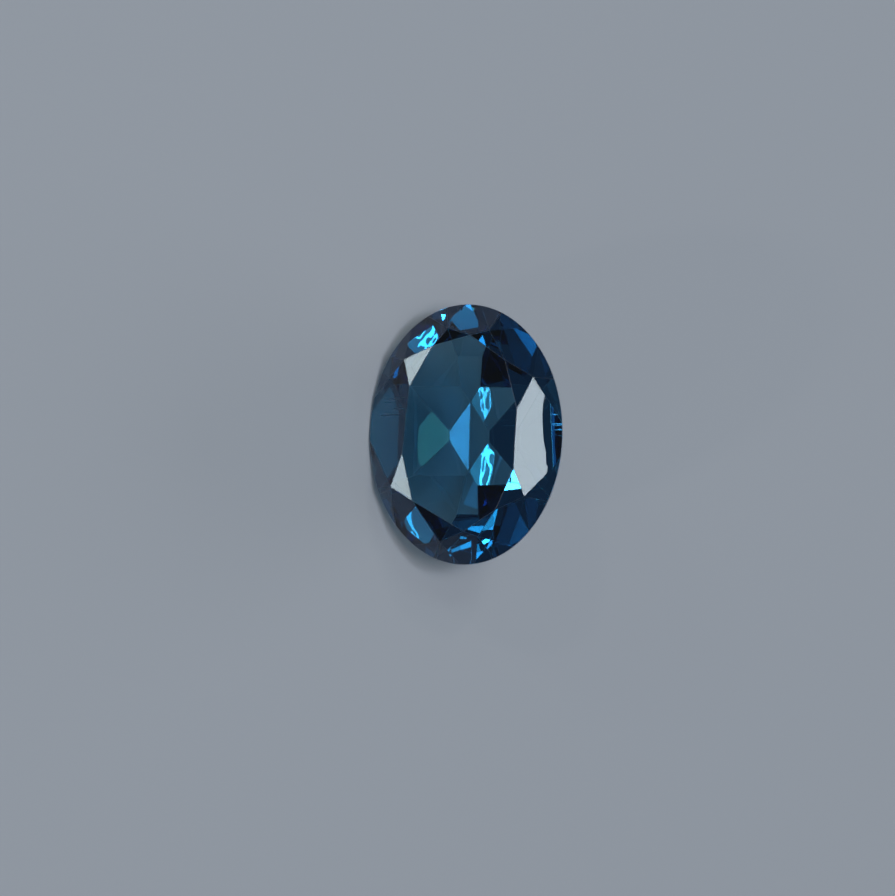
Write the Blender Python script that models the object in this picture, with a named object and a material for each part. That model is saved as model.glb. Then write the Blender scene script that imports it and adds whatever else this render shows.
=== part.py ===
"""An oval faceted topaz, 7 x 5.2 mm, cut as a brilliant and lying on one side of its pavilion.

The stone is cut the way a lapidary cuts it: an oval blank with a straight girdle, then one flat at a time.
It is worked out table up, with its long axis along Y, in millimetres. It is turned to its resting pose at
the end, when the long side facet under it lies on z = 0 and the table leans towards -Y.
"""

from math import atan2, ceil, cos, degrees, radians, sin, tan

import bmesh
import bpy
import numpy as np
from mathutils import Matrix, Vector

# Driving dimensions, in millimetres and degrees
LENGTH = 7.0
WIDTH = 5.2
CROWN_HEIGHT = 0.92  # from the middle of the girdle up to the table
GIRDLE = 0.06  # thickness of the girdle where a facet meets it
GIRDLE_SIDES = 120  # flats that stand for the girdle's smooth oval
MEET = 0.001  # facets this close to a corner are cut through it

# The table's ten corners, in order around the stone from its upper end. It sits a little askew.
TABLE = {
    "north": (0.15, 2.60),
    "northeast": (1.10, 1.95),
    "east_upper": (1.45, 0.65),
    "east_lower": (1.40, -0.95),
    "southeast": (0.95, -2.05),
    "south": (0.10, -2.65),
    "southwest": (-1.30, -1.85),
    "west_lower": (-1.60, -0.60),
    "west_upper": (-1.45, 1.20),
    "northwest": (-0.85, 2.30),
}
# Crown mains: the table corners that each one touches, and the way a one-corner main faces
CROWN_MAINS = [
    (("east_lower", "east_upper"), None),
    (("northeast",), 41),
    (("north",), 87),
    (("northwest",), 128),
    (("west_upper", "west_lower"), None),
    (("southwest",), 224),
    (("south",), 275),
    (("southeast",), 315),
]
STAR_ANGLES = (24.5, 23.5, 23, 22, 21.5, 22, 27, 23.5)  # one for each pair of mains, in the same order

# Pavilion: a keel in place of a point, with a shallow tier around it
KEEL_HALF = 0.94
KEEL_ANGLE = 13
KEEL_WIDTH = 0.54  # from the keel out to the side mains
SIDE_ANGLE = 40
INNER_ANGLE = 32
INNER_SPREAD = 22  # how far the inner diagonal facets face away from the sides
# The other six mains: the way each one faces, and its angle
OTHER_MAINS = {44: 39.5, 90: 39, 136: 39.5, 224: 38, 270: 39, 316: 39.5}
BREAK_DEPTH = 0.80  # where neighbouring mains and their break facets meet

BREAK_SHARES = (0.27, 0.73)  # where a pair of break facets faces, between one main and the next


def direction(azimuth):
    """The unit vector in plan that points this many degrees round from +X."""
    return np.array([cos(radians(azimuth)), sin(radians(azimuth)), 0.0])


def rim(azimuth, z):
    """The point of the oval, at height z, where its wall faces the azimuth."""
    a, b = WIDTH / 2, LENGTH / 2
    turn = atan2(b * sin(radians(azimuth)), a * cos(radians(azimuth)))
    return np.array([a * cos(turn), b * sin(turn), z])


def flat(point, azimuth, angle, side):
    """A facet through a point, tilted by the angle from level: side is 1 for the crown, -1 below."""
    normal = sin(radians(angle)) * direction(azimuth) + side * cos(radians(angle)) * np.array([0, 0, 1.0])
    return np.array(point, float), normal


def flat_to_rim(point, azimuth, side):
    """A facet through a point and down (or up) to the girdle's edge where that faces the azimuth."""
    foot = rim(azimuth, side * GIRDLE / 2)
    run = (foot - point) @ direction(azimuth)
    rise = side * (point[2] - foot[2])
    return flat(point, azimuth, degrees(atan2(rise, run)), side)


def meet(*flats):
    """The point that three facets share."""
    normals = np.array([normal for _, normal in flats])
    return np.linalg.solve(normals, [point @ normal for point, normal in flats])


def corner(name):
    return np.array([*TABLE[name], CROWN_HEIGHT])


def edge_azimuth(first, second):
    """The way an edge of the table faces, when its corners are taken counterclockwise."""
    along = corner(second) - corner(first)
    return degrees(atan2(-along[0], along[1]))


def break_facets(point, azimuth, next_azimuth, side):
    """The two girdle facets that fan out from the point where two mains meet."""
    turn = (next_azimuth - azimuth) % 360
    return [flat_to_rim(point, azimuth + share * turn, side) for share in BREAK_SHARES]


def crown():
    """The table, eight mains, eight stars on the table's slanting edges and sixteen break facets."""
    table = (np.array([0, 0, CROWN_HEIGHT]), np.array([0, 0, 1.0]))
    mains = []
    for names, azimuth in CROWN_MAINS:
        if azimuth is None:
            azimuth = edge_azimuth(*names)
        mains.append((names, azimuth, flat_to_rim(corner(names[0]), azimuth, 1)))
    stars = []
    breaks = []
    following = mains[1:] + mains[:1]
    for (names, azimuth, main), (next_names, next_azimuth, next_main), angle in zip(
        mains, following, STAR_ANGLES
    ):
        first, second = names[-1], next_names[0]
        star = flat(corner(first), edge_azimuth(first, second), angle, 1)
        stars.append(star)
        breaks += break_facets(meet(main, next_main, star), azimuth, next_azimuth, 1)
    return [table] + [main for _, _, main in mains] + stars + breaks


def keel_depth():
    """How far the keel lies under the girdle, worked out from the side mains down to the keel facets."""
    side = (WIDTH / 2 - KEEL_WIDTH) * tan(radians(SIDE_ANGLE))
    return GIRDLE / 2 + side + KEEL_WIDTH * tan(radians(KEEL_ANGLE))


def pavilion():
    """Two keel facets, the shallow tier round them, eight mains and sixteen break facets."""
    depth = keel_depth()
    inner = []
    for side in (0, 180):
        inner.append(flat((0, 0, -depth), side, KEEL_ANGLE, -1))
    for end in (90, -90):
        tip = KEEL_HALF * direction(end) - np.array([0, 0, depth])
        inner.append(flat(tip, end, INNER_ANGLE, -1))
        for spread in (INNER_SPREAD, 180 - INNER_SPREAD):
            inner.append(flat(tip, spread if end > 0 else -spread, INNER_ANGLE, -1))
    angles = {0: SIDE_ANGLE, 180: SIDE_ANGLE, **OTHER_MAINS}
    azimuths = sorted(angles)
    mains = [flat(rim(a, -GIRDLE / 2), a, angles[a], -1) for a in azimuths]
    level = (np.array([0, 0, -BREAK_DEPTH]), np.array([0, 0, 1.0]))
    breaks = []
    for i, azimuth in enumerate(azimuths):
        following = (i + 1) % len(azimuths)
        point = meet(mains[i], mains[following], level)
        breaks += break_facets(point, azimuth, azimuths[following], -1)
    return inner + mains + breaks


def blank():
    """An oval cylinder a little taller than the finished stone."""
    shape = bmesh.new()
    height = 2 * ceil(keel_depth() + CROWN_HEIGHT)
    bmesh.ops.create_cone(
        shape, cap_ends=True, segments=GIRDLE_SIDES, radius1=1, radius2=1, depth=height
    )
    bmesh.ops.scale(shape, vec=(WIDTH / 2, LENGTH / 2, 1), verts=shape.verts)
    return shape


def cut(shape, point, normal):
    """Grinds away all that lies outside a facet, and closes the stone with it."""
    result = bmesh.ops.bisect_plane(
        shape,
        geom=shape.verts[:] + shape.edges[:] + shape.faces[:],
        dist=MEET,
        plane_co=Vector(point),
        plane_no=Vector(normal),
        clear_outer=True,
    )
    edges = [e for e in result["geom_cut"] if isinstance(e, bmesh.types.BMEdge) and e.is_boundary]
    if edges:
        bmesh.ops.contextual_create(shape, geom=edges)


def resting_turn():
    """Lays the stone on its west side main, with the table leaning towards -Y."""
    return Matrix.Rotation(radians(90), 4, "Z") @ Matrix.Rotation(radians(-SIDE_ANGLE), 4, "Y")


def topaz_glass():
    """Blue topaz, clear right through: only the colour of its body and its high polish."""
    material = bpy.data.materials.new("polished_blue_topaz")
    material.use_nodes = True
    shader = material.node_tree.nodes["Principled BSDF"]
    shader.inputs["Base Color"].default_value = (0.03, 0.28, 0.47, 1)
    shader.inputs["Metallic"].default_value = 0
    shader.inputs["Roughness"].default_value = 0.02
    shader.inputs["IOR"].default_value = 1.62
    shader.inputs["Transmission Weight"].default_value = 1
    return material


def main():
    for old in list(bpy.data.objects):
        bpy.data.objects.remove(old)
    collection = bpy.data.collections.new("oval_topaz")
    bpy.context.scene.collection.children.link(collection)

    shape = blank()
    for point, normal in crown() + pavilion():
        cut(shape, point, normal)
    bmesh.ops.transform(shape, matrix=resting_turn(), verts=shape.verts)
    low = Vector([min(v.co[k] for v in shape.verts) for k in range(3)])
    high = Vector([max(v.co[k] for v in shape.verts) for k in range(3)])
    foot = Vector(((low.x + high.x) / 2, (low.y + high.y) / 2, low.z))
    bmesh.ops.translate(shape, vec=-foot, verts=shape.verts)
    bmesh.ops.scale(shape, vec=(0.001, 0.001, 0.001), verts=shape.verts)
    bmesh.ops.recalc_face_normals(shape, faces=shape.faces)

    mesh = bpy.data.meshes.new("oval_topaz")
    shape.to_mesh(mesh)
    shape.free()
    mesh.materials.append(topaz_glass())
    stone = bpy.data.objects.new("topaz", mesh)
    collection.objects.link(stone)


main()
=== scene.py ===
"""An oval faceted blue topaz, 7 x 5.2 mm, lying on one side of its pavilion on a pale bench.

The cut stone is the part's own solid. This script gives it the inside and the surface of the real stone,
and then sets up the bench top, the lamps round it and the camera.
"""

from math import radians

import bpy
import numpy as np
from mathutils import Matrix, Vector

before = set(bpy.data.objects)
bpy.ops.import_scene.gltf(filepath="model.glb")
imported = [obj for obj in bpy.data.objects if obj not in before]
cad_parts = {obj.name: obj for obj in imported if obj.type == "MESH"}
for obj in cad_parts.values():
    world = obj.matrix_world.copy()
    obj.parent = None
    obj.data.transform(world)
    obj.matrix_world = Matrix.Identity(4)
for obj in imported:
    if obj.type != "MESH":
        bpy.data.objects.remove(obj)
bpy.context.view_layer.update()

# The stone.
# One piece of blue topaz, clear right through, cut with flat facets and polished with diamond or alumina.
# It isn't fixed to anything: it lies loose on the long side facet of its pavilion.

MM = 0.001
TABLE_LEAN = 40  # degrees from level, as it lies
# Turns the cut's own axes, with the table up and the stone's long axis along Y, to the way it lies
laid_down = Matrix.Rotation(radians(90), 3, "Z") @ Matrix.Rotation(radians(-TABLE_LEAN), 3, "Y")
girdle_centre = Vector((0, 0.00854, 1.69423)) * MM
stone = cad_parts["topaz"]


def linear(hex_colour):
    """Turns an sRGB hex colour into the linear red, green, blue and alpha that sockets take."""
    parts = np.array([int(hex_colour[i : i + 2], 16) for i in (1, 3, 5)]) / 255
    low = parts / 12.92
    high = ((parts + 0.055) / 1.055) ** 2.4
    return (*np.where(parts <= 0.04045, low, high), 1.0)


def add(tree, kind, settings=None, links=None):
    """Adds a node: settings are its properties or its sockets' own values, and links feed its sockets."""
    made = tree.nodes.new(kind)
    for name, value in (settings or {}).items():
        if isinstance(name, str) and hasattr(made, name):
            setattr(made, name, value)
        else:
            made.inputs[name].default_value = value
    for name, source in (links or {}).items():
        tree.links.new(source, made.inputs[name])
    return made


# Blue topaz, irradiated to a deep slate blue and polished on a lap: the eye looks right through it.
# A millimetre of it takes half of the red out of the light, over a quarter of the green and less of the blue.
TOPAZ_IOR = 1.62
TOPAZ_COLOUR = "#38c4dd"
TOPAZ_DENSITY = 720.0  # per metre, for light that the colour has none of

polished_topaz = bpy.data.materials.new("polished_blue_topaz")
polished_topaz.use_nodes = True
tree = polished_topaz.node_tree
tree.nodes.clear()
place = add(tree, "ShaderNodeTexCoord")
# The cut's own axes, in millimetres from the middle of the girdle
cut = add(
    tree,
    "ShaderNodeMapping",
    {
        "vector_type": "TEXTURE",
        "Location": girdle_centre,
        "Rotation": laid_down.to_euler(),
        "Scale": (MM, MM, MM),
    },
    {"Vector": place.outputs["Object"]},
).outputs["Vector"]

# The girdle is left as it was ground: a matt band, found by how little its wall faces the table or the keel
GIRDLE_ROUGHNESS = 0.32
GIRDLE_FACING = (0.1, 0.3)  # cosines to the table's normal: matt below the first, polished above the second
table_normal = laid_down @ Vector((0, 0, 1))
facing = add(
    tree,
    "ShaderNodeVectorMath",
    {"operation": "DOT_PRODUCT", 1: table_normal},
    {0: place.outputs["Normal"]},
)
either_way = add(tree, "ShaderNodeMath", {"operation": "ABSOLUTE"}, {0: facing.outputs["Value"]})
girdle = add(
    tree,
    "ShaderNodeMapRange",
    {
        "From Min": GIRDLE_FACING[0],
        "From Max": GIRDLE_FACING[1],
        "To Min": GIRDLE_ROUGHNESS,
        "To Max": 0.0,
    },
    {"Value": either_way.outputs["Value"]},
)

# Hairline scratches cross the left side of the crown, where the stone is handled. Real ones are a few
# thousandths of a millimetre wide: these are drawn several times as wide, so that they show.
SCRATCH_LENGTH = 2.0  # millimetres
SCRATCHES_PER_MM = 22
SCRATCH_TURN = 0.06  # radians, off square to the stone's long axis
SCRATCH_CONTRAST = (0.63, 0.7)  # the part of the noise that shows, from no scratch to a whole one
SCRATCH_CENTRE = (-2.0, 0.9, 0.5)  # in the cut's axes, in millimetres
SCRATCH_REACH = (0.5, 0.85)  # millimetres from that centre, from all of them to none
SCRATCH_ROUGHNESS = 0.35
drawn_out = add(
    tree,
    "ShaderNodeMapping",
    {
        "Scale": (1 / SCRATCH_LENGTH, SCRATCHES_PER_MM, 1 / SCRATCH_LENGTH),
        "Rotation": (0, 0, SCRATCH_TURN),
    },
    {"Vector": cut},
)
hairs = add(
    tree,
    "ShaderNodeTexNoise",
    {"Scale": 1.0, "Detail": 1.0},
    {"Vector": drawn_out.outputs["Vector"]},
)
hair = add(
    tree,
    "ShaderNodeMapRange",
    {"From Min": SCRATCH_CONTRAST[0], "From Max": SCRATCH_CONTRAST[1]},
    {"Value": hairs.outputs["Fac"]},
)
reach = add(tree, "ShaderNodeVectorMath", {"operation": "DISTANCE", 1: SCRATCH_CENTRE}, {0: cut})
rubbed = add(
    tree,
    "ShaderNodeMapRange",
    {
        "From Min": SCRATCH_REACH[0],
        "From Max": SCRATCH_REACH[1],
        "To Min": SCRATCH_ROUGHNESS,
        "To Max": 0.0,
    },
    {"Value": reach.outputs["Value"]},
)
scratches = add(
    tree,
    "ShaderNodeMath",
    {"operation": "MULTIPLY"},
    {0: hair.outputs["Result"], 1: rubbed.outputs["Result"]},
)

# Where two facets meet the polish is rounded and a little worn, which draws a thin pale line along the edge
EDGE_RADIUS = 0.03 * MM
EDGE_ROUGHNESS = 0.4
EDGE_TURN = (0.9995, 0.99)  # cosines of how far the edge turns the facet's normal, from no wear to full wear
rounded = add(tree, "ShaderNodeBevel", {"samples": 4, "Radius": EDGE_RADIUS})
turned = add(
    tree,
    "ShaderNodeVectorMath",
    {"operation": "DOT_PRODUCT"},
    {0: rounded.outputs["Normal"], 1: place.outputs["Normal"]},
)
worn = add(
    tree,
    "ShaderNodeMapRange",
    {
        "From Min": EDGE_TURN[0],
        "From Max": EDGE_TURN[1],
        "To Min": 0.0,
        "To Max": EDGE_ROUGHNESS,
    },
    {"Value": turned.outputs["Value"]},
)

# Each place is as rough as the roughest of the three
ground = add(
    tree,
    "ShaderNodeMath",
    {"operation": "MAXIMUM"},
    {0: girdle.outputs["Result"], 1: scratches.outputs["Value"]},
)
rough = add(
    tree,
    "ShaderNodeMath",
    {"operation": "MAXIMUM"},
    {0: ground.outputs["Value"], 1: worn.outputs["Result"]},
)

# Real polish lines are far too fine to see. What is drawn is the slight waviness that polishing leaves in
# a facet, which bends what it mirrors into streaks.
POLISH_WAVE = 0.9  # millimetres from crest to crest
POLISH_HEIGHT = 0.0009 * MM
waves = add(tree, "ShaderNodeTexNoise", {"Scale": 1 / POLISH_WAVE, "Detail": 1.0}, {"Vector": cut})
ripple = add(
    tree,
    "ShaderNodeBump",
    {"Distance": POLISH_HEIGHT},
    {"Height": waves.outputs["Fac"], "Normal": rounded.outputs["Normal"]},
)

shader = add(
    tree,
    "ShaderNodeBsdfPrincipled",
    {
        "Base Color": linear("#ffffff"),
        "Metallic": 0.0,
        "IOR": TOPAZ_IOR,
        "Transmission Weight": 1.0,
    },
    {"Roughness": rough.outputs["Value"], "Normal": ripple.outputs["Normal"]},
)
inside = add(
    tree,
    "ShaderNodeVolumeAbsorption",
    {"Density": TOPAZ_DENSITY, "Color": linear(TOPAZ_COLOUR)},
)
add(
    tree,
    "ShaderNodeOutputMaterial",
    links={"Surface": shader.outputs["BSDF"], "Volume": inside.outputs["Volume"]},
)
stone.data.materials.clear()
stone.data.materials.append(polished_topaz)

# The bench top.
# A plain sheet of pale grey laminate, pressed with a matt finish. It isn't part of the object. The stone
# lies on it by its own weight, and the sheet is drawn a hair lower, so that the two don't share a face.

BENCH_HALF = 0.6  # metres from its middle to each edge
BENCH_GAP = 0.02 * MM
BENCH_COLOUR = "#c9cdd4"
BENCH_ROUGHNESS = 0.6
bench = bpy.data.meshes.new("bench_top")
corners = BENCH_HALF * np.array([(-1, -1, 0), (1, -1, 0), (1, 1, 0), (-1, 1, 0)]) - (0, 0, BENCH_GAP)
bench.from_pydata(corners.tolist(), [], [(0, 1, 2, 3)])
bench_top = bpy.data.objects.new("bench_top", bench)
bpy.context.collection.objects.link(bench_top)
laminate = bpy.data.materials.new("matt_pale_laminate")
laminate.use_nodes = True
laminate_surface = laminate.node_tree.nodes["Principled BSDF"]
laminate_surface.inputs["Base Color"].default_value = linear(BENCH_COLOUR)
laminate_surface.inputs["Roughness"].default_value = BENCH_ROUGHNESS
bench.materials.append(laminate)

# The lamps.
# Soft panels round a dim room, out of the camera's own sight. Two large ones light the bench top. The rest
# are small, and each is there for the one or two facets that mirror it or that its light comes out of.


def towards(azimuth, elevation):
    """The unit vector this many degrees round from -Y, through +X, and this many above the bench."""
    a, e = radians(azimuth), radians(elevation)
    return Vector((np.sin(a) * np.cos(e), -np.cos(a) * np.cos(e), np.sin(e)))


def panel(name, azimuth, elevation, away, size, radiance, colour):
    """Adds a soft panel that faces the stone, in degrees and millimetres.

    Its power is its radiance times its area times pi.
    """
    lamp = bpy.data.lights.new(name, "AREA")
    lamp.shape = "RECTANGLE"
    lamp.size = size[0] * MM
    lamp.size_y = size[1] * MM
    lamp.energy = radiance * np.pi * lamp.size * lamp.size_y
    lamp.color = linear(colour)[:3]
    holder = bpy.data.objects.new(name, lamp)
    way = towards(azimuth, elevation)
    holder.location = girdle_centre + way * away * MM
    holder.rotation_euler = way.to_track_quat("Z", "Y").to_euler()
    holder.visible_camera = False
    bpy.context.collection.objects.link(holder)


# The bench top's light, from overhead and from low behind the stone
panel("overhead_softbox", -10, 80, 300, (105, 105), 6.1, "#fbfaff")
panel("back_softbox", -176, 12, 300, (240, 110), 2.0, "#f4f8ff")

# What the crown mirrors: the long main on its right, and the two stars on its left
panel("right_main_lamp", -176, 62.26, 260, (24, 8), 8.5, "#e2f4ff")
panel("upper_star_lamp", -22, 2, 300, (60, 24), 8.5, "#e0f6ff")
panel("lower_star_lamp", 6, 2, 300, (40, 24), 8, "#e0f6ff")

# What shows through the table: the left half of the keel, the long main beside it, a small window below
# them, and two pale patches on the right. A thin strip in front of each patch's lamp gives its streaks.
panel("keel_lamp", -46, 84, 200, (18, 18), 24, "#d8ecff")
panel("left_main_lamp", -11, 66, 300, (36, 34), 4, "#ffe0a8")
panel("lower_window_lamp", -78, 2.5, 300, (40, 20), 3.5, "#f4faff")
panel("upper_patch_lamp", 32, 18, 300, (30, 30), 3.4, "#e4fff4")
panel("upper_patch_strip", 32, 17.23, 290, (30, 0.5), 30, "#f0fff8")
panel("lower_patch_lamp", -35, 19, 300, (30, 30), 4, "#e4fff4")
panel("lower_patch_strip", -35, 18.34, 290, (30, 0.5), 34, "#f0fff8")

# What shows through the crown's left side and its two left corners, where the strips give streaks as well
panel("left_side_lamp", -2, 32, 300, (50, 46), 0.24, "#fff8ec")
panel("upper_corner_lamp", 54, 7.5, 300, (30, 30), 1.2, "#e4fff4")
panel("upper_corner_strip", 55.02, 7.5, 290, (0.5, 30), 12, "#f0fff8")
panel("lower_corner_lamp", -53, 4, 300, (30, 30), 0.8, "#e4fff4")
panel("lower_corner_strip", -53.88, 4, 290, (0.6, 30), 5, "#f0fff8")

# What shows through the crown's two ends
panel("upper_end_lamp", 82, 67, 300, (50, 50), 1.3, "#e4fff4")
panel("lower_end_lamp", -90, 60, 300, (60, 40), 3, "#e4fff4")
panel("lower_glint_lamp", -64, 61, 300, (24, 24), 5, "#e4fff8")

# The three brightest sparks: at the upper end, at the lower end, and in the star on the lower right
panel("upper_spark", 20.5, 15.5, 300, (14, 14), 60, "#fff4ec")
panel("lower_spark", -93.5, 48.5, 300, (14, 14), 30, "#fff4ec")
panel("right_spark", -43, 33.5, 300, (14, 14), 25, "#fff4ec")

room = bpy.data.worlds.new("dim_room")
bpy.context.scene.world = room
room.use_nodes = True
room.node_tree.nodes["Background"].inputs["Color"].default_value = linear("#4b555f")
room.node_tree.nodes["Background"].inputs["Strength"].default_value = 1.0

# The camera.
# A long lens looks down on the table from 7 degrees to its right and 3.5 degrees below. It is rolled so that
# the stone's long axis stands almost upright in the picture.

VIEW_RIGHT = 7  # degrees off the table's normal
VIEW_BELOW = 3.5
VIEW_ROLL = 1.5
PICTURE_MIDDLE = (447.5, 448)  # pixels from the left and from the top
STONE_MIDDLE = (466.1, 434.4)
PICTURE_WIDTH = 895
PIXELS_PER_MM = 37.2
LIGHT_BOUNCES = 24  # enough for light to find its way out of the stone

scene = bpy.context.scene
scene.view_settings.view_transform = "Standard"
scene.cycles.max_bounces = LIGHT_BOUNCES
scene.cycles.glossy_bounces = LIGHT_BOUNCES
scene.cycles.transmission_bounces = LIGHT_BOUNCES

lens = bpy.data.cameras.new("camera")
lens.sensor_width = 36
lens.lens = 200
lens.clip_start = 0.01
lens.clip_end = 5
distance = PICTURE_WIDTH / PIXELS_PER_MM * lens.lens / lens.sensor_width * MM
# The camera's own axes, first in the cut's axes and then as the stone lies
back = Vector((np.sin(radians(VIEW_RIGHT)), -np.sin(radians(VIEW_BELOW)), 0))
back.z = (1 - back.length_squared) ** 0.5
up = (Vector((0, 1, 0)) - back * back.y).normalized()
right = up.cross(back)
roll = Matrix.Rotation(radians(VIEW_ROLL), 3, back)
right = laid_down @ roll @ right
up = laid_down @ roll @ up
back = laid_down @ back
across = (PICTURE_MIDDLE[0] - STONE_MIDDLE[0]) / PIXELS_PER_MM * MM
upwards = (STONE_MIDDLE[1] - PICTURE_MIDDLE[1]) / PIXELS_PER_MM * MM
camera = bpy.data.objects.new("camera", lens)
spot = girdle_centre + right * across + up * upwards + back * distance
camera.matrix_world = Matrix.Translation(spot) @ Matrix((right, up, back)).transposed().to_4x4()
bpy.context.collection.objects.link(camera)
scene.camera = camera
